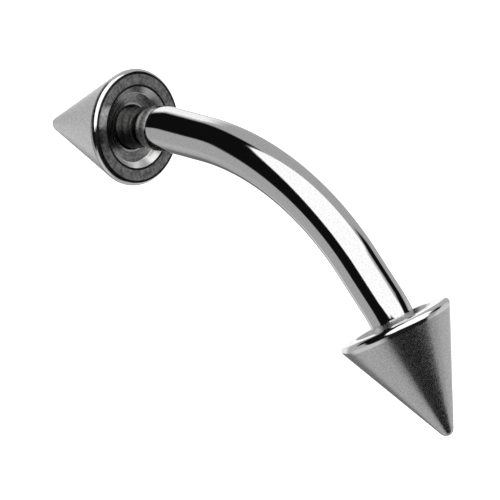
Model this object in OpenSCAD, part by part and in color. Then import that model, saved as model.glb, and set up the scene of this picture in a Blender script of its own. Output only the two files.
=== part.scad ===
// Curved eyebrow barbell with a spike screwed on each end, lying as it rests on a flat surface.
// The right spike is screwed home and the left spike is backed off, so its thread shows.
// Lengths are in millimetres and angles in degrees.

/* [Bar] */
// Diameter of the bar
bar_d = 1.2; // [1.16:0.02:1.3]
// Radius of the middle bend, to the bar's centreline
bend_r = 6.25; // [5:0.05:8]
// Angle of the middle bend, from the bar's middle to each side
bend_angle = 26; // [24:1:32]
// Straight stretch on each side of the middle bend
straight_l = 1.25; // [0.6:0.05:2]
// Radius of the short bend behind each shoulder
end_bend_r = 2.5; // [2:0.1:4]
// Angle of the short bend behind each shoulder
end_bend_angle = 10; // [8:1:12]

/* [Threaded posts] */
// Length of a post, from the bar's shoulder to the post's end
post_l = 1.65; // [1.5:0.05:1.8]
// Length of the rounded shoulder
shoulder_l = 0.54; // [0.4:0.02:0.58]
// Diameter over the thread's crests
thread_d = 1.1; // [1.0:0.02:1.12]
// Pitch of the thread
pitch = 0.25; // [0.2:0.05:0.25]
// Depth of the thread's groove
thread_depth = 0.14; // [0.08:0.01:0.16]

/* [Spikes] */
// Largest diameter of a spike, over its rounded rim
spike_d = 3.1; // [2.9:0.05:3.3]
// Length of a spike, from its flat face to its rounded tip
spike_l = 3.28; // [3.1:0.02:3.8]
// Radius of the rounded rim
rim_r = 0.14; // [0.1:0.01:0.18]
// Radius of the rounded tip
tip_r = 0.2; // [0.15:0.01:0.25]
// Diameter of the dish in a spike's face
dish_d = 2.18; // [2:0.02:2.3]
// Diameter of the dish's floor
dish_floor_d = 1.84; // [1.6:0.02:1.9]
// Depth of the dish
dish_depth = 0.25; // [0.15:0.01:0.3]
// Diameter of the bore that takes the threaded post
bore_d = 1.16; // [1.14:0.02:1.2]

/* [How far the spikes are screwed on] */
// Gap from the bar's shoulder to the face of a spike that is home
home_gap = 0.13; // [0.1:0.01:0.2]
// Distance that the left spike is backed off from home
backed_off = 0.77; // [0:0.01:1]

/* [Hidden] */
$fn = 96;

LEFT = -1;
RIGHT = 1;

// Bar: each threaded post leaves at the sum of the two bends
post_angle = bend_angle + end_bend_angle;
straight_start = bend_r * [sin(bend_angle), cos(bend_angle) - 1];
straight_end = straight_start + straight_l * [cos(bend_angle), -sin(bend_angle)];
end_bend_centre = straight_end - end_bend_r * [sin(bend_angle), cos(bend_angle)];
shoulder = end_bend_centre + end_bend_r * [sin(post_angle), cos(post_angle)];

// Bands that fuse the bar's stretches, and the gap that each band bridges on its two sides
seam_rise = 0.01;
seam_l = 0.08;
seam_gap = 0.02;

// Post: the shoulder rounds down to a relief at the thread's root, then come whole turns
crest_r = thread_d / 2;
root_r = crest_r - thread_depth;
relief_l = 0.1;
shoulder_steps = 6;
thread_start = shoulder_l + relief_l;
thread_turns = floor((post_l - thread_start) / pitch);
crest_flat = pitch / 8;
flank_l = pitch * 5 / 16;

// Spike: the side is the line that touches the rim's and the tip's circles
rim_ring_r = spike_d / 2 - rim_r;
side_rise = spike_l - tip_r - rim_r;
side_angle = acos((tip_r - rim_r) / norm([rim_ring_r, side_rise])) - atan2(side_rise, rim_ring_r);
side_normal = [cos(side_angle), sin(side_angle)];
rim_centre = [rim_ring_r, rim_r];
tip_centre = [0, spike_l - tip_r];
dish_wall_depth = 0.8 * dish_depth;
mouth = 0.03;
drill_point_angle = 118;
bore_l = post_l - home_gap;
drill_point_l = bore_d / 2 / tan(drill_point_angle / 2);

// Ends in the barbell's own axes: X along the chord, Z towards the top of the bend
function post_dir(end) = [end * cos(post_angle), 0, -sin(post_angle)];
function shoulder_at(end) = [end * shoulder[0], 0, shoulder[1]];
function face_gap(end) = home_gap + (end == LEFT ? backed_off : 0);
function face_at(end) = shoulder_at(end) + face_gap(end) * post_dir(end);

// How far each form reaches along a unit direction in those axes
function bar_reach(dir) =
    let (a = max(-bend_angle, min(bend_angle, atan2(dir[0], dir[2]))))
    bend_r * [sin(a), 0, cos(a) - 1] * dir + bar_d / 2;
function rim_reach(end, dir) =
    (face_at(end) + rim_r * post_dir(end)) * dir
    + rim_ring_r * sqrt(1 - pow(post_dir(end) * dir, 2)) + rim_r;
function tip_reach(end, dir) = (face_at(end) + (spike_l - tip_r) * post_dir(end)) * dir + tip_r;
function reach(dir) = max(
    bar_reach(dir),
    rim_reach(LEFT, dir), rim_reach(RIGHT, dir),
    tip_reach(LEFT, dir), tip_reach(RIGHT, dir)
);

// At rest the middle of the bend and the rims of both spikes are on the surface.
// The barbell leans about its chord until the bend is down, and tips until the rims are level.
function up_at(lean, tip) = [-sin(tip), cos(tip) * sin(lean), cos(tip) * cos(lean)];
function bend_height(lean, tip) =
    let (down = -up_at(lean, tip))
    rim_reach(RIGHT, down) - bar_reach(down);
function lean_at(tip, low, high, steps) =
    let (mid = (low + high) / 2)
    steps == 0 ? mid
    : bend_height(mid, tip) > 0 ? lean_at(tip, low, mid, steps - 1)
    : lean_at(tip, mid, high, steps - 1);
on_its_side = -90;
on_its_back = -180;
halvings = 30;
function left_rim_height(tip) =
    let (down = -up_at(lean_at(tip, on_its_back, on_its_side, halvings), tip))
    rim_reach(RIGHT, down) - rim_reach(LEFT, down);
function tip_between(low, high, steps) =
    let (mid = (low + high) / 2)
    steps == 0 ? mid
    : left_rim_height(mid) > 0 ? tip_between(low, mid, steps - 1)
    : tip_between(mid, high, steps - 1);
max_tip = 8;
rest_tip = tip_between(-max_tip, 0, halvings);
rest_lean = lean_at(rest_tip, on_its_back, on_its_side, halvings);

// The part's +X, +Y and +Z in the barbell's own axes
part_x = [cos(rest_tip), sin(rest_lean) * sin(rest_tip), cos(rest_lean) * sin(rest_tip)];
part_y = [0, cos(rest_lean), -sin(rest_lean)];
part_z = up_at(rest_lean, rest_tip);

// The origin is on the surface, under the middle of the resting barbell
module at_rest() {
    translate([
        (reach(-part_x) - reach(part_x)) / 2,
        (reach(-part_y) - reach(part_y)) / 2,
        reach(-part_z)
    ])
    rotate([rest_lean, rest_tip, 0])
    children();
}

// Places a form that points along +Z so that it points out of one end of the bar
module at_end(end, distance) {
    translate(shoulder_at(end) + distance * post_dir(end))
    rotate([0, end * (90 + post_angle), 0])
    children();
}

// A bend of the bar from one angle to another, measured from straight up
module bend(radius, centre, from, to) {
    trim_angle = seam_gap / radius * 180 / PI;
    translate([centre[0], 0, centre[1]])
    rotate([90, 0, 0])
    rotate([0, 0, 90 - to + trim_angle])
    rotate_extrude(angle = to - from - 2 * trim_angle)
    translate([radius, 0])
    circle(d = bar_d);
}

// A form on the bar's centreline on the right side, turned to point outwards along it
module on_bar(place, angle) {
    translate([place[0], 0, place[1]])
    rotate([0, 90 + angle, 0])
    children();
}

// A hair-thin band that fuses two stretches of the bar where they meet
module seam() {
    cylinder(d = bar_d + seam_rise, h = seam_l, center = true);
}

// The bar's straight stretch, short bend and threaded post on the right side
module bar_side() {
    on_bar(straight_start, bend_angle) {
        seam();
        translate([0, 0, seam_gap])
        cylinder(d = bar_d, h = straight_l - 2 * seam_gap);
    }
    on_bar(straight_end, bend_angle)
    seam();
    bend(end_bend_r, end_bend_centre, bend_angle, post_angle);
    on_bar(shoulder, post_angle) {
        seam();
        rotate_extrude()
        post_outline();
    }
}

// Outline of the post: a quarter-round shoulder, the relief and the thread's turns
module post_outline() {
    round_part = [
        for (i = [0 : shoulder_steps])
        let (a = 90 * i / shoulder_steps)
        [root_r + (bar_d / 2 - root_r) * cos(a), shoulder_l * sin(a)]
    ];
    turns = [
        for (i = [0 : thread_turns - 1])
        let (start = thread_start + i * pitch)
        each [
            [root_r, start],
            [crest_r, start + flank_l],
            [crest_r, start + flank_l + crest_flat],
            [root_r, start + 2 * flank_l + crest_flat]
        ]
    ];
    polygon(concat([[0, 0]], round_part, turns, [[root_r, post_l], [0, post_l]]));
}

// Outline of a spike's outside: face, rounded rim, straight side and rounded tip
module spike_outline() {
    polygon([
        [0, 0],
        [rim_ring_r, 0],
        rim_centre,
        rim_centre + rim_r * side_normal,
        tip_centre + tip_r * side_normal,
        tip_centre
    ]);
    translate(rim_centre)
    circle(r = rim_r);
    intersection() {
        translate(tip_centre)
        circle(r = tip_r);
        square([tip_r, spike_l]);
    }
}

// Outline of a spike's hollow: dish, chamfered mouth and blind bore
module hollow_outline() {
    polygon([
        [0, -rim_r],
        [dish_d / 2, -rim_r],
        [dish_d / 2, 0],
        [dish_floor_d / 2, dish_wall_depth],
        [bore_d / 2 + mouth, dish_depth],
        [bore_d / 2, dish_depth + mouth],
        [bore_d / 2, bore_l],
        [0, bore_l + drill_point_l]
    ]);
}

module spike(end) {
    at_rest()
    at_end(end, face_gap(end))
    rotate_extrude()
    difference() {
        spike_outline();
        hollow_outline();
    }
}

module curved_bar() {
    color([0.78, 0.78, 0.79])
    at_rest() {
        bend(bend_r, [0, -bend_r], -bend_angle, bend_angle);
        bar_side();
        mirror([1, 0, 0])
        bar_side();
    }
}

module left_spike() {
    color([0.66, 0.66, 0.66])
    spike(LEFT);
}

module right_spike() {
    color([0.66, 0.66, 0.66])
    spike(RIGHT);
}

curved_bar();
left_spike();
right_spike();
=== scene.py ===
"""Eyebrow barbell in polished and satin steel, lying as it rests on a pale floor.

Lengths are in millimetres in the barbell's own axes while a piece is being made: X runs along the
chord from the left spike to the right spike, Z points to the outside of the bend, and the origin
is on the bar's centreline at the middle of the bend. A finished piece is then laid at rest.
"""

import math

import bpy
from mathutils import Matrix, Vector


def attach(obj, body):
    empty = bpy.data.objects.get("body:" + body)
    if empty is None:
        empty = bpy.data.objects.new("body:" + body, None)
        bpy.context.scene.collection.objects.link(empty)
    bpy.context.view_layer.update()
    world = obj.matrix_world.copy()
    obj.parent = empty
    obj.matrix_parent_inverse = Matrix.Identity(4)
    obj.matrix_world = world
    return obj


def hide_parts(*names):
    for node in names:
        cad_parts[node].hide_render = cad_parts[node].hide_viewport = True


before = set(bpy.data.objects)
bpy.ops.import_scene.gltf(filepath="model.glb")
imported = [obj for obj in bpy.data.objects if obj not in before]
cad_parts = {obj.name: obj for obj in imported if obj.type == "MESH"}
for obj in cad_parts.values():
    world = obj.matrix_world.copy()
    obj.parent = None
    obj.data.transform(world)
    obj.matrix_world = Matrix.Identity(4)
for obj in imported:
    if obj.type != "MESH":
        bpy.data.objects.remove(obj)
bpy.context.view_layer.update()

# One millimetre, in metres
MM = 0.001

# Bar, in millimetres and degrees, as in the part's source
BAR_R = 0.6
BEND_R = 6.25
BEND_ANGLE = 26
STRAIGHT_L = 1.25
END_BEND_R = 2.5
END_BEND_ANGLE = 10
POST_ANGLE = BEND_ANGLE + END_BEND_ANGLE
POST_L = 1.65
SHOULDER_L = 0.54
CREST_R = 0.55
ROOT_R = 0.41
PITCH = 0.25
FLANK_L = PITCH * 5 / 16
CREST_L = PITCH / 8
THREAD_START = 0.64

# Spikes, as in the part's source
SPIKE_R = 1.55
SPIKE_L = 3.28
RIM_R = 0.14
TIP_R = 0.2
DISH_R = 1.09
DISH_FLOOR_R = 0.92
DISH_WALL_DEPTH = 0.2
DISH_DEPTH = 0.25
BORE_R = 0.58
BORE_MOUTH = 0.03
BORE_L = 1.52
DRILL_POINT_L = 0.3485
HOME_GAP = 0.13
BACKED_OFF = 0.77

# Fine rounding, which the part's source leaves out
DISH_FLOOR_FILLET_R = 0.06
DISH_EDGE_FILLET_R = 0.03
ROOT_EASE_R, ROOT_EASE_L = 0.01, 0.012
CREST_EASE_R, CREST_EASE_L = 0.008, 0.006

# Where one finish ends and the next one starts
SHOULDER_FINISH_START = 0.05
# Where the thread's painted shade starts
THREAD_PAINTED_SHADE_START = SHOULDER_L - 0.02
LEFT_POLISHED_L = 0.11
RIGHT_POLISHED_L = 0.26
# Widths of the lines that carry the painted dark reflection on the left spike; on the right spike
# these lines carry the polished rim
RIM_LINE_W = 0.065
DISH_LINE_W = 0.05
DISH_LINE_INSIDE_W = 0.01
BORE_RING_W = 0.07
SIDE_BAND_W = 0.2

# Mesh steps and joins
AROUND_BAR = 128
AROUND_SPIKE = 256
BEND_STEPS = 36
STRAIGHT_STEPS = 9
END_BEND_STEPS = 12
SHOULDER_STEPS = 16
FILLET_STEPS = 8
RIM_AND_TIP_STEPS = 24
THREAD_TURNS = 8
STEPS_A_TURN = 96
POST_CORE_OVERLAP = 0.05
SAME_POINT = 0.0001
SAME_THREAD_POINT = 0.0005
SMOOTH_ANGLE = 32

# How the barbell rests: its lean about the chord, its tip, and where its origin goes
REST_LEAN = -119.889
REST_TIP = -1.26269
REST_PLACE = Vector((0.350028, 1.42315, 0.603044))
LAID_AT_REST = (
    Matrix.Scale(MM, 4)
    @ Matrix.Translation(REST_PLACE)
    @ Matrix.Rotation(math.radians(REST_TIP), 4, "Y")
    @ Matrix.Rotation(math.radians(REST_LEAN), 4, "X")
)
END_FOR_END = Matrix.Rotation(math.pi, 4, "Z")
ALONG_POST = Matrix.Rotation(math.radians(90 + POST_ANGLE), 4, "Y")


def along(angle):
    """Unit vector along the bar's centreline where it has turned down by this angle."""
    turn = math.radians(angle)
    return Vector((math.cos(turn), 0, -math.sin(turn)))


def across(angle):
    """Unit vector from the bend's centre to the centreline at this angle."""
    turn = math.radians(angle)
    return Vector((math.sin(turn), 0, math.cos(turn)))


STRAIGHT_START = BEND_R * across(BEND_ANGLE) - Vector((0, 0, BEND_R))
STRAIGHT_END = STRAIGHT_START + STRAIGHT_L * along(BEND_ANGLE)
END_BEND_CENTRE = STRAIGHT_END - END_BEND_R * across(BEND_ANGLE)
SHOULDER = END_BEND_CENTRE + END_BEND_R * across(POST_ANGLE)


def deselect_all():
    if bpy.context.object and bpy.context.object.mode != "OBJECT":
        bpy.ops.object.mode_set(mode="OBJECT")
    bpy.ops.object.select_all(action="DESELECT")


def make_active(piece):
    deselect_all()
    piece.select_set(True)
    bpy.context.view_layer.objects.active = piece


def put(piece, place):
    """Moves a piece, and leaves its new place in its mesh."""
    make_active(piece)
    piece.matrix_world = place
    bpy.ops.object.transform_apply(location=True, rotation=True, scale=True)


def copied(piece, name):
    twin = piece.copy()
    twin.data = piece.data.copy()
    twin.name = name
    bpy.context.scene.collection.objects.link(twin)
    return twin


def point_outwards(piece):
    """Merges doubled points and turns every face outwards."""
    make_active(piece)
    bpy.ops.object.mode_set(mode="EDIT")
    bpy.ops.mesh.select_all(action="SELECT")
    bpy.ops.mesh.remove_doubles(threshold=SAME_POINT)
    bpy.ops.mesh.normals_make_consistent(inside=False)
    bpy.ops.object.mode_set(mode="OBJECT")


def drawn_outline(name, outline):
    """An outline of (radius, height) points, drawn point by point, and left in edit mode."""
    deselect_all()
    bpy.ops.mesh.primitive_plane_add(size=1)
    piece = bpy.context.object
    piece.name = name
    bpy.ops.object.mode_set(mode="EDIT")
    bpy.ops.mesh.select_all(action="SELECT")
    bpy.ops.mesh.merge(type="CENTER")
    bpy.ops.transform.translate(value=(outline[0][0], 0, outline[0][1]))
    for (r, h), (next_r, next_h) in zip(outline, outline[1:]):
        step = (next_r - r, 0, next_h - h)
        bpy.ops.mesh.extrude_region_move(TRANSFORM_OT_translate={"value": step})
    return piece


def turned_outline(name, outline, steps):
    """Spins an outline all the way round the Z axis, as on a lathe."""
    piece = drawn_outline(name, outline)
    bpy.ops.mesh.select_all(action="SELECT")
    bpy.ops.mesh.spin(
        steps=steps, angle=2 * math.pi, center=(0, 0, 0), axis=(0, 0, 1), use_auto_merge=True
    )
    bpy.ops.object.mode_set(mode="OBJECT")
    point_outwards(piece)
    return piece


def arc(centre, radius, start, end, steps):
    """Points of a circle's arc in an outline, with its angles in degrees from the radius axis."""
    points = []
    for i in range(steps + 1):
        angle = math.radians(start + (end - start) * i / steps)
        points.append(
            (centre[0] + radius * math.cos(angle), centre[1] + radius * math.sin(angle))
        )
    return points


def rounded(before, corner, after, radius):
    """Points that round the corner of an outline with a fillet of this radius."""
    corner = Vector(corner)
    to_before = (Vector(before) - corner).normalized()
    to_after = (Vector(after) - corner).normalized()
    half = to_before.angle(to_after) / 2
    centre = corner + (to_before + to_after).normalized() * (radius / math.sin(half))
    first = corner + to_before * (radius / math.tan(half))
    last = corner + to_after * (radius / math.tan(half))
    points = []
    for i in range(FILLET_STEPS + 1):
        chord = first.lerp(last, i / FILLET_STEPS)
        points.append(tuple(centre + (chord - centre).normalized() * radius))
    return points


def spike_outline():
    """The hollow and the outside of a spike, from the bottom of its bore to its tip.

    Extra points on the dish's floor, on the face and on the side end one finish and start another.
    """
    ring_r = SPIKE_R - RIM_R
    rise = SPIKE_L - TIP_R - RIM_R
    side_angle = math.degrees(
        math.acos((TIP_R - RIM_R) / math.hypot(ring_r, rise)) - math.atan2(rise, ring_r)
    )
    bore_bottom = (0, BORE_L + DRILL_POINT_L)
    bore_end = (BORE_R, BORE_L)
    mouth_end = (BORE_R, DISH_DEPTH + BORE_MOUTH)
    mouth_start = (BORE_R + BORE_MOUTH, DISH_DEPTH)
    bore_ring_edge = (BORE_R + BORE_RING_W, DISH_DEPTH)
    floor_edge = (DISH_FLOOR_R, DISH_WALL_DEPTH)
    dish_edge = (DISH_R, 0)
    rim_start = (ring_r, 0)
    outline = [bore_bottom, bore_end, mouth_end, mouth_start, bore_ring_edge]
    outline += rounded(bore_ring_edge, floor_edge, dish_edge, DISH_FLOOR_FILLET_R)
    outline += rounded(floor_edge, dish_edge, rim_start, DISH_EDGE_FILLET_R)
    outline.append((DISH_R + DISH_LINE_W, 0))
    outline += arc((ring_r, RIM_R), RIM_R, -90, side_angle, RIM_AND_TIP_STEPS)
    rim_end_r, rim_end_h = outline[-1]
    slope = math.tan(math.radians(side_angle))
    outline.append((rim_end_r - (RIGHT_POLISHED_L - rim_end_h) * slope, RIGHT_POLISHED_L))
    outline += arc((0, SPIKE_L - TIP_R), TIP_R, side_angle, 90, RIM_AND_TIP_STEPS)
    return outline


# A spike's material slots, in order
ON_SIDE, ON_FACE, ON_RIM, IN_DISH, ON_WALL, ON_LINE = range(6)


def spike_slot(r, h, polished_l):
    """The material slot of a facet by its radius and height, on a spike polished up to a height."""
    if r > SPIKE_R - RIM_R or h > BORE_L + DRILL_POINT_L:
        # On the rim near its inner edge: the line slot, which holds the painted dark reflection on
        # the left spike
        if r < SPIKE_R - RIM_R + RIM_LINE_W and h < RIM_R / 2:
            return ON_LINE
        return ON_RIM if h < polished_l else ON_SIDE
    if r > DISH_R + DISH_LINE_W:
        return ON_FACE
    # Round the dish's edge: the same line slot, with the painted dark reflection on the left spike
    if r > DISH_R - DISH_LINE_INSIDE_W:
        return ON_LINE
    if h < DISH_WALL_DEPTH and r > DISH_FLOOR_R:
        return ON_WALL
    if BORE_R < r < BORE_R + BORE_RING_W:
        return ON_WALL
    # What is left is on the side if it is near the line from rim to tip, and else in the bore
    near_side = r > (SPIKE_L - h) * SPIKE_R / SPIKE_L - SIDE_BAND_W
    return ON_SIDE if near_side and h > polished_l else IN_DISH


def spike(name, end, face_gap, polished_l, finishes):
    """A spike on the left (-1) or right (1) end, with its face this far from the shoulder."""
    piece = turned_outline(name, spike_outline(), AROUND_SPIKE)
    for finish in finishes:
        piece.data.materials.append(finish)
    for facet in piece.data.polygons:
        r, h = math.hypot(facet.center.x, facet.center.y), facet.center.z
        facet.material_index = spike_slot(r, h, polished_l)
    place = Matrix.Translation(SHOULDER + face_gap * along(POST_ANGLE)) @ ALONG_POST
    put(piece, place if end > 0 else END_FOR_END @ place)
    return piece


def half_bar():
    """The bar from the middle of its bend to the relief behind the thread, open in the middle."""
    deselect_all()
    bpy.ops.mesh.primitive_circle_add(
        vertices=AROUND_BAR, radius=BAR_R, fill_type="NOTHING", rotation=(0, math.pi / 2, 0)
    )
    piece = bpy.context.object
    piece.name = "curved_bar_polished"
    bpy.ops.object.transform_apply(location=True, rotation=True, scale=True)
    bpy.ops.object.mode_set(mode="EDIT")
    bpy.ops.mesh.select_all(action="SELECT")
    bpy.ops.mesh.spin(
        steps=BEND_STEPS, angle=math.radians(BEND_ANGLE), center=(0, 0, -BEND_R), axis=(0, -1, 0)
    )
    for _ in range(STRAIGHT_STEPS):
        bpy.ops.mesh.extrude_region_move(
            TRANSFORM_OT_translate={"value": along(BEND_ANGLE) * STRAIGHT_L / STRAIGHT_STEPS}
        )
    bpy.ops.mesh.spin(
        steps=END_BEND_STEPS, angle=math.radians(END_BEND_ANGLE), center=END_BEND_CENTRE,
        axis=(0, -1, 0),
    )
    # The shoulder rounds down a quarter turn to the relief
    centre = SHOULDER
    radius = BAR_R
    for i in range(1, SHOULDER_STEPS + 1):
        turn = math.radians(90 * i / SHOULDER_STEPS)
        depth = SHOULDER_L * math.sin(turn)
        new_radius = ROOT_R + (BAR_R - ROOT_R) * math.cos(turn)
        step = SHOULDER + depth * along(POST_ANGLE) - centre
        centre = centre + step
        bpy.ops.mesh.extrude_region_move(TRANSFORM_OT_translate={"value": step})
        bpy.ops.transform.resize(value=[new_radius / radius] * 3, center_override=centre)
        radius = new_radius
    # The relief goes on into the threaded rod, so that the two fuse
    relief_l = THREAD_START - SHOULDER_L + POST_CORE_OVERLAP
    bpy.ops.mesh.extrude_region_move(
        TRANSFORM_OT_translate={"value": along(POST_ANGLE) * relief_l}
    )
    bpy.ops.mesh.edge_face_add()
    bpy.ops.object.mode_set(mode="OBJECT")
    return piece


def threaded_rod():
    """The post's right-handed thread, cut off square at both ends, from the relief outwards."""
    groove_start = 2 * FLANK_L + CREST_L
    rod = drawn_outline("threaded_rod", [
        (ROOT_R, 0),
        (ROOT_R + ROOT_EASE_R, ROOT_EASE_L),
        (CREST_R - CREST_EASE_R, FLANK_L - CREST_EASE_L),
        (CREST_R, FLANK_L + CREST_EASE_L),
        (CREST_R, FLANK_L + CREST_L - CREST_EASE_L),
        (CREST_R - CREST_EASE_R, FLANK_L + CREST_L + CREST_EASE_L),
        (ROOT_R + ROOT_EASE_R, groove_start - ROOT_EASE_L),
        (ROOT_R, groove_start),
        (ROOT_R, PITCH),
    ])
    bpy.ops.object.mode_set(mode="OBJECT")
    screw = rod.modifiers.new("thread", "SCREW")
    screw.axis = "Z"
    screw.angle = 2 * math.pi
    screw.screw_offset = PITCH
    screw.iterations = THREAD_TURNS
    screw.steps = screw.render_steps = STEPS_A_TURN
    screw.use_merge_vertices = True
    screw.merge_threshold = SAME_THREAD_POINT
    bpy.ops.object.modifier_apply(modifier=screw.name)
    bpy.ops.object.mode_set(mode="EDIT")
    bpy.ops.mesh.select_all(action="SELECT")
    bpy.ops.mesh.remove_doubles(threshold=SAME_THREAD_POINT)
    for height, outer in ((THREAD_START, False), (POST_L, True)):
        bpy.ops.mesh.select_all(action="SELECT")
        bpy.ops.mesh.bisect(
            plane_co=(0, 0, height), plane_no=(0, 0, 1),
            clear_outer=outer, clear_inner=not outer, use_fill=True,
        )
    bpy.ops.object.mode_set(mode="OBJECT")
    point_outwards(rod)
    return rod


def curved_bar():
    """The whole bar: two like halves, one turned end for end, with a thread on each post."""
    bar = half_bar()
    other_half = copied(bar, "other_half")
    put(other_half, END_FOR_END)
    make_active(bar)
    other_half.select_set(True)
    bpy.ops.object.join()
    point_outwards(bar)
    rod = threaded_rod()
    put(rod, Matrix.Translation(SHOULDER) @ ALONG_POST)
    other_rod = copied(rod, "other_rod")
    put(other_rod, END_FOR_END)
    for each in (rod, other_rod):
        make_active(bar)
        union = bar.modifiers.new("thread", "BOOLEAN")
        union.operation = "UNION"
        union.solver = "EXACT"
        union.object = each
        bpy.ops.object.modifier_apply(modifier=union.name)
        bpy.data.objects.remove(each)
    return bar


class Finish:
    """A metal finish: its shader and the patterns that vary it over the surface."""

    # Most of a noise's values lie between these two
    NOISE_LOW, NOISE_HIGH = 0.3, 0.7

    def __init__(self, name):
        self.material = bpy.data.materials.new(name)
        self.material.use_nodes = True
        self.nodes = self.material.node_tree.nodes
        self.links = self.material.node_tree.links
        self.shader = self.nodes["Principled BSDF"]
        self.shader.inputs["Metallic"].default_value = 1
        self.place = self.nodes.new("ShaderNodeTexCoord").outputs["Object"]
        self.normal = None

    def vector(self, operation, first, second=None):
        made = self.nodes.new("ShaderNodeVectorMath")
        made.operation = operation
        self.links.new(first, made.inputs[0])
        if second is not None:
            made.inputs[1].default_value = second
        return made.outputs

    def turned_about(self, centre, axis):
        """Sets the height along a turned piece's axis, the radius from it, and the way round."""
        from_centre = self.vector("SUBTRACT", self.place, centre)["Vector"]
        self.height = self.vector("DOT_PRODUCT", from_centre, axis)["Value"]
        around = self.vector("CROSS_PRODUCT", from_centre, axis)["Vector"]
        self.radius = self.vector("LENGTH", around)["Value"]
        self.way_round = self.vector("NORMALIZE", around)["Vector"]

    def lumps(self, size, detail=2):
        """Noise in all directions, with lumps of this size in millimetres."""
        made = self.nodes.new("ShaderNodeTexNoise")
        made.inputs["Scale"].default_value = 1 / (size * MM)
        made.inputs["Detail"].default_value = detail
        self.links.new(self.place, made.inputs["Vector"])
        return made.outputs["Fac"]

    def lines(self, distance, size, detail=2):
        """Noise along one distance, which gives the rings that a lathe tool leaves."""
        made = self.nodes.new("ShaderNodeTexNoise")
        made.noise_dimensions = "1D"
        made.inputs["Scale"].default_value = 1 / (size * MM)
        made.inputs["Detail"].default_value = detail
        self.links.new(distance, made.inputs["W"])
        return made.outputs["Fac"]

    def between(self, pattern, low, high):
        """Spreads a pattern's middle range from a low value to a high one."""
        made = self.nodes.new("ShaderNodeMapRange")
        made.inputs["From Min"].default_value = self.NOISE_LOW
        made.inputs["From Max"].default_value = self.NOISE_HIGH
        made.inputs["To Min"].default_value = low
        made.inputs["To Max"].default_value = high
        self.links.new(pattern, made.inputs["Value"])
        return made.outputs["Result"]

    def colour(self, pattern, dark, light):
        made = self.nodes.new("ShaderNodeMix")
        made.data_type = "RGBA"
        made.inputs["A"].default_value = (*dark, 1)
        made.inputs["B"].default_value = (*light, 1)
        self.links.new(self.between(pattern, 0, 1), made.inputs["Factor"])
        self.links.new(made.outputs["Result"], self.shader.inputs["Base Color"])

    def roughness(self, pattern, low, high):
        self.links.new(self.between(pattern, low, high), self.shader.inputs["Roughness"])

    def raised(self, pattern, depth):
        """Raises the surface by a pattern, up to this depth in millimetres."""
        made = self.nodes.new("ShaderNodeBump")
        made.inputs["Distance"].default_value = depth * MM
        self.links.new(pattern, made.inputs["Height"])
        if self.normal is not None:
            self.links.new(self.normal, made.inputs["Normal"])
        self.normal = made.outputs["Normal"]
        self.links.new(self.normal, self.shader.inputs["Normal"])

    def brushed_round(self, amount):
        """Grooves that run round the axis spread each highlight across themselves."""
        quarter_turn = 0.25
        self.shader.inputs["Anisotropic"].default_value = amount
        self.shader.inputs["Anisotropic Rotation"].default_value = quarter_turn
        self.links.new(self.way_round, self.shader.inputs["Tangent"])


def polished_steel():
    """Mirror-polished, with the slight waves that hand polishing leaves, and fine grain."""
    finish = Finish("polished_steel")
    finish.colour(finish.lumps(0.04, 3), (0.74, 0.74, 0.745), (0.88, 0.88, 0.882))
    finish.roughness(finish.lumps(0.12, 3), 0.03, 0.08)
    finish.raised(finish.lumps(0.8, 1), 0.0012)
    finish.raised(finish.lumps(0.03), 0.0002)
    return finish.material


def satin_shoulder():
    """The rounded shoulder, matt from the tool that cut the thread behind it."""
    finish = Finish("satin_shoulder")
    finish.colour(finish.lumps(0.05, 3), (0.76, 0.76, 0.76), (0.92, 0.92, 0.915))
    finish.roughness(finish.lumps(0.06), 0.24, 0.34)
    finish.raised(finish.lumps(0.035, 3), 0.0016)
    return finish.material


def painted_shade_thread():
    """The thread and the relief behind it, coloured near black as painted shade for their place
    deep in the dish.
    """
    finish = Finish("painted_shade_thread")
    # Painted shade: the colour is kept near black
    finish.colour(finish.lumps(0.06, 3), (0.034, 0.034, 0.034), (0.11, 0.11, 0.107))
    finish.roughness(finish.lumps(0.05), 0.3, 0.45)
    finish.raised(finish.lumps(0.03, 3), 0.003)
    return finish.material


def polished_rim():
    """A spike's rounded rim, bright from the polishing wheel."""
    finish = Finish("polished_rim")
    finish.colour(finish.lumps(0.05), (0.88, 0.88, 0.88), (0.96, 0.96, 0.96))
    finish.roughness(finish.lumps(0.08), 0.07, 0.12)
    finish.raised(finish.lumps(0.4, 1), 0.001)
    return finish.material


def painted_dark_reflection():
    """A narrow painted dark reflection: near-black colour with little specular, put on a spike's
    rim near its inner edge and round its dish's edge.
    """
    finish = Finish("painted_dark_reflection")
    # Painted dark reflection: the colour is kept near black
    finish.colour(finish.lumps(0.08), (0.01, 0.01, 0.012), (0.05, 0.05, 0.055))
    finish.roughness(finish.lumps(0.05), 0.3, 0.5)
    finish.raised(finish.lumps(0.04), 0.001)
    finish.shader.inputs["Specular Tint"].default_value = (0.1, 0.1, 0.1, 1)
    return finish.material


def turned(name, end):
    """A finish on a spike, with its centre and axis where the spike lies."""
    finish = Finish(name)
    direction = Vector((end * along(POST_ANGLE).x, 0, along(POST_ANGLE).z))
    axis = (LAID_AT_REST.to_3x3() @ direction).normalized()
    centre = LAID_AT_REST @ Vector((end * SHOULDER.x, 0, SHOULDER.z))
    finish.turned_about(centre, axis)
    return finish


def satin_side(name, end):
    """The spike's side: an even satin grain over faint rings from the lathe."""
    finish = turned(name, end)
    finish.colour(finish.lumps(0.045, 3), (0.52, 0.52, 0.52), (0.74, 0.735, 0.735))
    finish.roughness(finish.lumps(0.06, 3), 0.2, 0.3)
    finish.raised(finish.lines(finish.height, 0.02), 0.0006)
    finish.raised(finish.lumps(0.035, 3), 0.0028)
    finish.brushed_round(0.8)
    return finish.material


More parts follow.
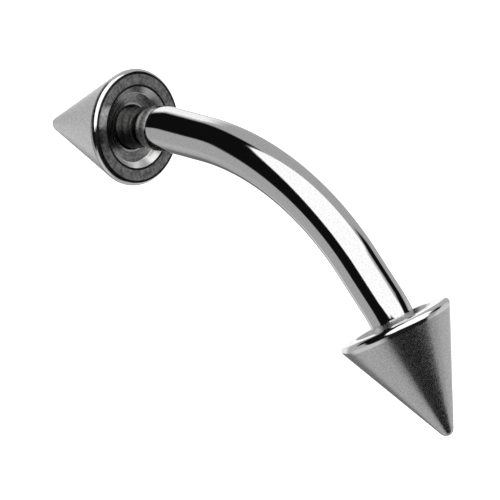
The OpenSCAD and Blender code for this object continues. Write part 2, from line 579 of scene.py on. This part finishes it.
def turned_face_painted_dark(name, end):
    """The flat land round the dish, with the tool's rings left in it; its colour is darkened as
    painted shade.
    """
    finish = turned(name, end)
    # Painted shade: a dark base colour with lighter random lumps
    finish.colour(finish.lumps(0.11, 4), (0.12, 0.127, 0.127), (0.5, 0.505, 0.49))
    finish.roughness(finish.lines(finish.radius, 0.05), 0.14, 0.26)
    finish.raised(finish.lines(finish.radius, 0.035), 0.0012)
    finish.raised(finish.lumps(0.04, 3), 0.003)
    finish.brushed_round(0.45)
    finish.shader.inputs["Coat Weight"].default_value = 1
    finish.shader.inputs["Coat Roughness"].default_value = 0.06
    return finish.material


def satin_wall(name, end):
    """The dish's sloping wall, wiped over when the rim was polished."""
    finish = turned(name, end)
    finish.colour(finish.lumps(0.06, 3), (0.74, 0.74, 0.74), (0.88, 0.88, 0.87))
    finish.roughness(finish.lumps(0.06), 0.16, 0.26)
    finish.raised(finish.lines(finish.radius, 0.04), 0.0006)
    finish.brushed_round(0.5)
    return finish.material


def turned_dish(name, end):
    """The dish's floor and the bore, with coarser rings from the tool."""
    finish = turned(name, end)
    finish.colour(finish.lumps(0.07, 3), (0.22, 0.22, 0.226), (0.5, 0.497, 0.485))
    finish.roughness(finish.lines(finish.radius, 0.05), 0.2, 0.32)
    finish.raised(finish.lines(finish.radius, 0.05), 0.0012)
    finish.raised(finish.lumps(0.05, 3), 0.002)
    finish.brushed_round(0.7)
    return finish.material


# The three pieces
polished, shoulder, thread = polished_steel(), satin_shoulder(), painted_shade_thread()
# The line finish is a painted dark reflection
rim, line = polished_rim(), painted_dark_reflection()
bar = curved_bar()
left, right = [
    spike(
        side + "_spike_turned",
        end,
        HOME_GAP + backed_off,
        polished_l,
        (
            satin_side("satin_steel_" + side, end),
            turned_face_painted_dark("turned_face_painted_dark_" + side, end),
            rim,
            turned_dish("turned_dish_" + side, end),
            satin_wall("satin_wall_" + side, end),
            # The left spike takes the painted dark reflection on its lines; the right spike takes
            # its polished rim there
            line if backed_off else rim,
        ),
    )
    for side, end, backed_off, polished_l in (
        ("left", -1, BACKED_OFF, LEFT_POLISHED_L),
        ("right", 1, 0, RIGHT_POLISHED_L),
    )
]
bar.data.materials.clear()
for finish in (polished, shoulder, thread):
    bar.data.materials.append(finish)
# By distance past the shoulder: polished bar, satin shoulder, then the thread with its painted
# shade
for facet in bar.data.polygons:
    outwards = Vector((abs(facet.center.x), facet.center.y, facet.center.z)) - SHOULDER
    past_shoulder = outwards.dot(along(POST_ANGLE))
    facet.material_index = (
        (past_shoulder > SHOULDER_FINISH_START) + (past_shoulder > THREAD_PAINTED_SHADE_START)
    )
for piece, node, body, slot in (
    (bar, "curved_bar", "bar", "polished_bar"),
    (left, "left_spike", "spike_left", "satin_spike"),
    (right, "right_spike", "spike_right", "satin_spike"),
):
    put(piece, LAID_AT_REST)
    bpy.ops.object.shade_smooth_by_angle(angle=math.radians(SMOOTH_ANGLE))
    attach(piece, body)
    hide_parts(node)

# Floor, in metres
FLOOR_SIZE = 4
deselect_all()
bpy.ops.mesh.primitive_plane_add(size=FLOOR_SIZE)
floor = bpy.context.object
floor.name = "floor"
paper = bpy.data.materials.new("pale_paper")
paper.use_nodes = True
paper_shader = paper.node_tree.nodes["Principled BSDF"]
paper_shader.inputs["Base Color"].default_value = (0.9, 0.9, 0.9, 1)
paper_shader.inputs["Roughness"].default_value = 0.9
paper_shader.inputs["Emission Color"].default_value = (1, 1, 1, 1)
paper_shader.inputs["Emission Strength"].default_value = 0.95
floor.data.materials.append(paper)
floor.visible_glossy = False

# Camera at the photograph's angle, in metres
CAMERA_PLACE = Vector((0.061112163, 0.133650142, 0.037044284))
CAMERA_RIGHT = Vector((0.718768, -0.150428, -0.678781))
CAMERA_UP = Vector((-0.566518, 0.439232, -0.697232))
CAMERA_BACK = Vector((0.403026, 0.88569, 0.230485))
deselect_all()
bpy.ops.object.camera_add()
camera = bpy.context.object
camera.name = "camera"
camera.matrix_world = Matrix.Translation(CAMERA_PLACE) @ Matrix(
    (CAMERA_RIGHT, CAMERA_UP, CAMERA_BACK)
).transposed().to_4x4()
camera.data.lens = 417.336
camera.data.sensor_width = 36
camera.data.clip_start = 0.01
camera.data.clip_end = 10
bpy.context.scene.camera = camera

# Studio: flat bright and dark areas all round the jewel, for its metal to mirror. Each has its
# corners in order, as (azimuth, elevation) in degrees seen from the jewel, the softness of its
# edge in degrees, and its brightness. A later area lies over the earlier ones. The comments say
# where each shows most at the photograph's angle. The base level shows where no area does, as on
# the grey strips along the bar.
BASE_LEVEL = 0.42
BLACK = 0.005
AREAS = [
    # On the left cone
    ([(-98, -22), (-98, 28), (-120, 33), (-151, 27), (-153, -12), (-130, -24)], 8, 0.84),
    # On the right cone's left side
    ([(-130, 50), (-90, 38), (-40, 44), (-12, 51), (14, 55), (24, 76), (-150, 80)], 9, 0.57),
    # On the right cone's right edge and the floor of the left dish
    ([(-92, -10), (-60, 0), (-24, -4), (-13, -28), (-16, -58), (-60, -68), (-95, -62)], 7, 0.6),
    # The shade on the bar's lower edge beside the left spike
    ([(-121, 4), (-108, -2), (-98, 12), (-94, 30), (-106, 38), (-122, 22)], 6, 0.17),
    # The light on the right spike's face
    ([(-142, -12), (-120, -8), (-102, -10), (-92, -28), (-115, -31), (-140, -29)], 6, 1.1),
    # The bar's black stripe
    (
        [(45, 40), (42, 62), (55, 77), (110, 81), (143, 66), (158, 39), (158, -21), (45, -21)],
        3, BLACK,
    ),
    ([(60, 0), (158, 0), (158, -21), (120, -34), (60, -30)], 3, BLACK),
    ([(140, 39), (158, 41), (178, 37), (178, -10), (172, -26), (140, -27)], 3, BLACK),
    # The right cone's dark streak
    ([(-25, 10), (-25, 30), (-10, 46), (20, 52), (55, 46), (60, 10)], 12, BLACK),
    ([(-30, 34), (12, 44), (66, 42), (66, 18), (-1, -40), (-14, -24), (-30, 0)], 5, 0.012),
    # The bar's white stripe and the white edge of the left rim
    (
        [
            (61, 24), (72, 29), (86, 31), (101, 26), (126, -3),
            (135, -18), (133, -28), (120, -58), (90, -68), (50, -66),
        ],
        2, 1.2,
    ),
    # The white stripe's end beside the right spike
    ([(8, -34), (33, -13), (64, 16), (66, -5), (64, -66), (30, -52), (6, -46)], 3, 1.2),
    # The thin black stripe beside the right spike
    ([(-73, -78), (-23, -61), (26, -46.5), (40, -58.5), (48, -70.5), (59, -83)], 2.5, BLACK),
    # On the left spike's flat face
    ([(-24, -32), (-6, -26), (6, -38), (2, -50), (-14, -53), (-26, -43)], 6, 0.3),
    # The light strip along the top of the bar beside the left spike
    ([(-137, -16), (178, -20), (178, -38), (-137, -38)], 5, 1.1),
]


def towards(azimuth, elevation):
    """Unit vector from the jewel at this azimuth and elevation, in degrees."""
    a, e = math.radians(azimuth), math.radians(elevation)
    return Vector((math.cos(e) * math.cos(a), math.cos(e) * math.sin(a), math.sin(e)))


def area_mask(nodes, links, direction, corners, softness):
    """1 for directions on the inner side of all the planes through an area's edges, else 0."""
    mask = None
    middle = sum((towards(*corner) for corner in corners), Vector())
    for here, there in zip(corners, corners[1:] + corners[:1]):
        inwards = towards(*here).cross(towards(*there)).normalized()
        if inwards.dot(middle) < 0:
            inwards = -inwards
        inside = nodes.new("ShaderNodeVectorMath")
        inside.operation = "DOT_PRODUCT"
        links.new(direction, inside.inputs[0])
        inside.inputs[1].default_value = inwards
        soft = nodes.new("ShaderNodeMapRange")
        soft.interpolation_type = "SMOOTHSTEP"
        soft.inputs["From Min"].default_value = -math.radians(softness)
        soft.inputs["From Max"].default_value = math.radians(softness)
        links.new(inside.outputs["Value"], soft.inputs["Value"])
        if mask is None:
            mask = soft.outputs["Result"]
        else:
            both = nodes.new("ShaderNodeMath")
            both.operation = "MULTIPLY"
            links.new(mask, both.inputs[0])
            links.new(soft.outputs["Result"], both.inputs[1])
            mask = both.outputs["Value"]
    return mask


def studio():
    """The world that holds the areas. The camera itself sees plain white behind the floor."""
    world = bpy.data.worlds.new("studio")
    bpy.context.scene.world = world
    world.use_nodes = True
    nodes, links = world.node_tree.nodes, world.node_tree.links
    unit = nodes.new("ShaderNodeVectorMath")
    unit.operation = "NORMALIZE"
    links.new(nodes.new("ShaderNodeTexCoord").outputs["Generated"], unit.inputs[0])
    direction = unit.outputs["Vector"]
    level = None
    for corners, softness, brightness in AREAS:
        mask = area_mask(nodes, links, direction, corners, softness)
        over = nodes.new("ShaderNodeMix")
        links.new(mask, over.inputs["Factor"])
        if level is None:
            over.inputs["A"].default_value = BASE_LEVEL
        else:
            links.new(level, over.inputs["A"])
        over.inputs["B"].default_value = brightness
        level = over.outputs["Result"]
    seen = nodes.new("ShaderNodeMix")
    links.new(nodes.new("ShaderNodeLightPath").outputs["Is Camera Ray"], seen.inputs["Factor"])
    links.new(level, seen.inputs["A"])
    seen.inputs["B"].default_value = 1.0
    background = nodes["Background"]
    background.inputs["Color"].default_value = (1, 1, 1, 1)
    links.new(seen.outputs["Result"], background.inputs["Strength"])


studio()
deselect_all()
bpy.ops.object.light_add(type="SUN", rotation=(math.radians(20), math.radians(-25), 0))
sun = bpy.context.object
sun.name = "overhead_light"
sun.data.energy = 1.2
sun.data.angle = math.radians(70)
sun.visible_glossy = False
bpy.context.scene.view_settings.view_transform = "Standard"
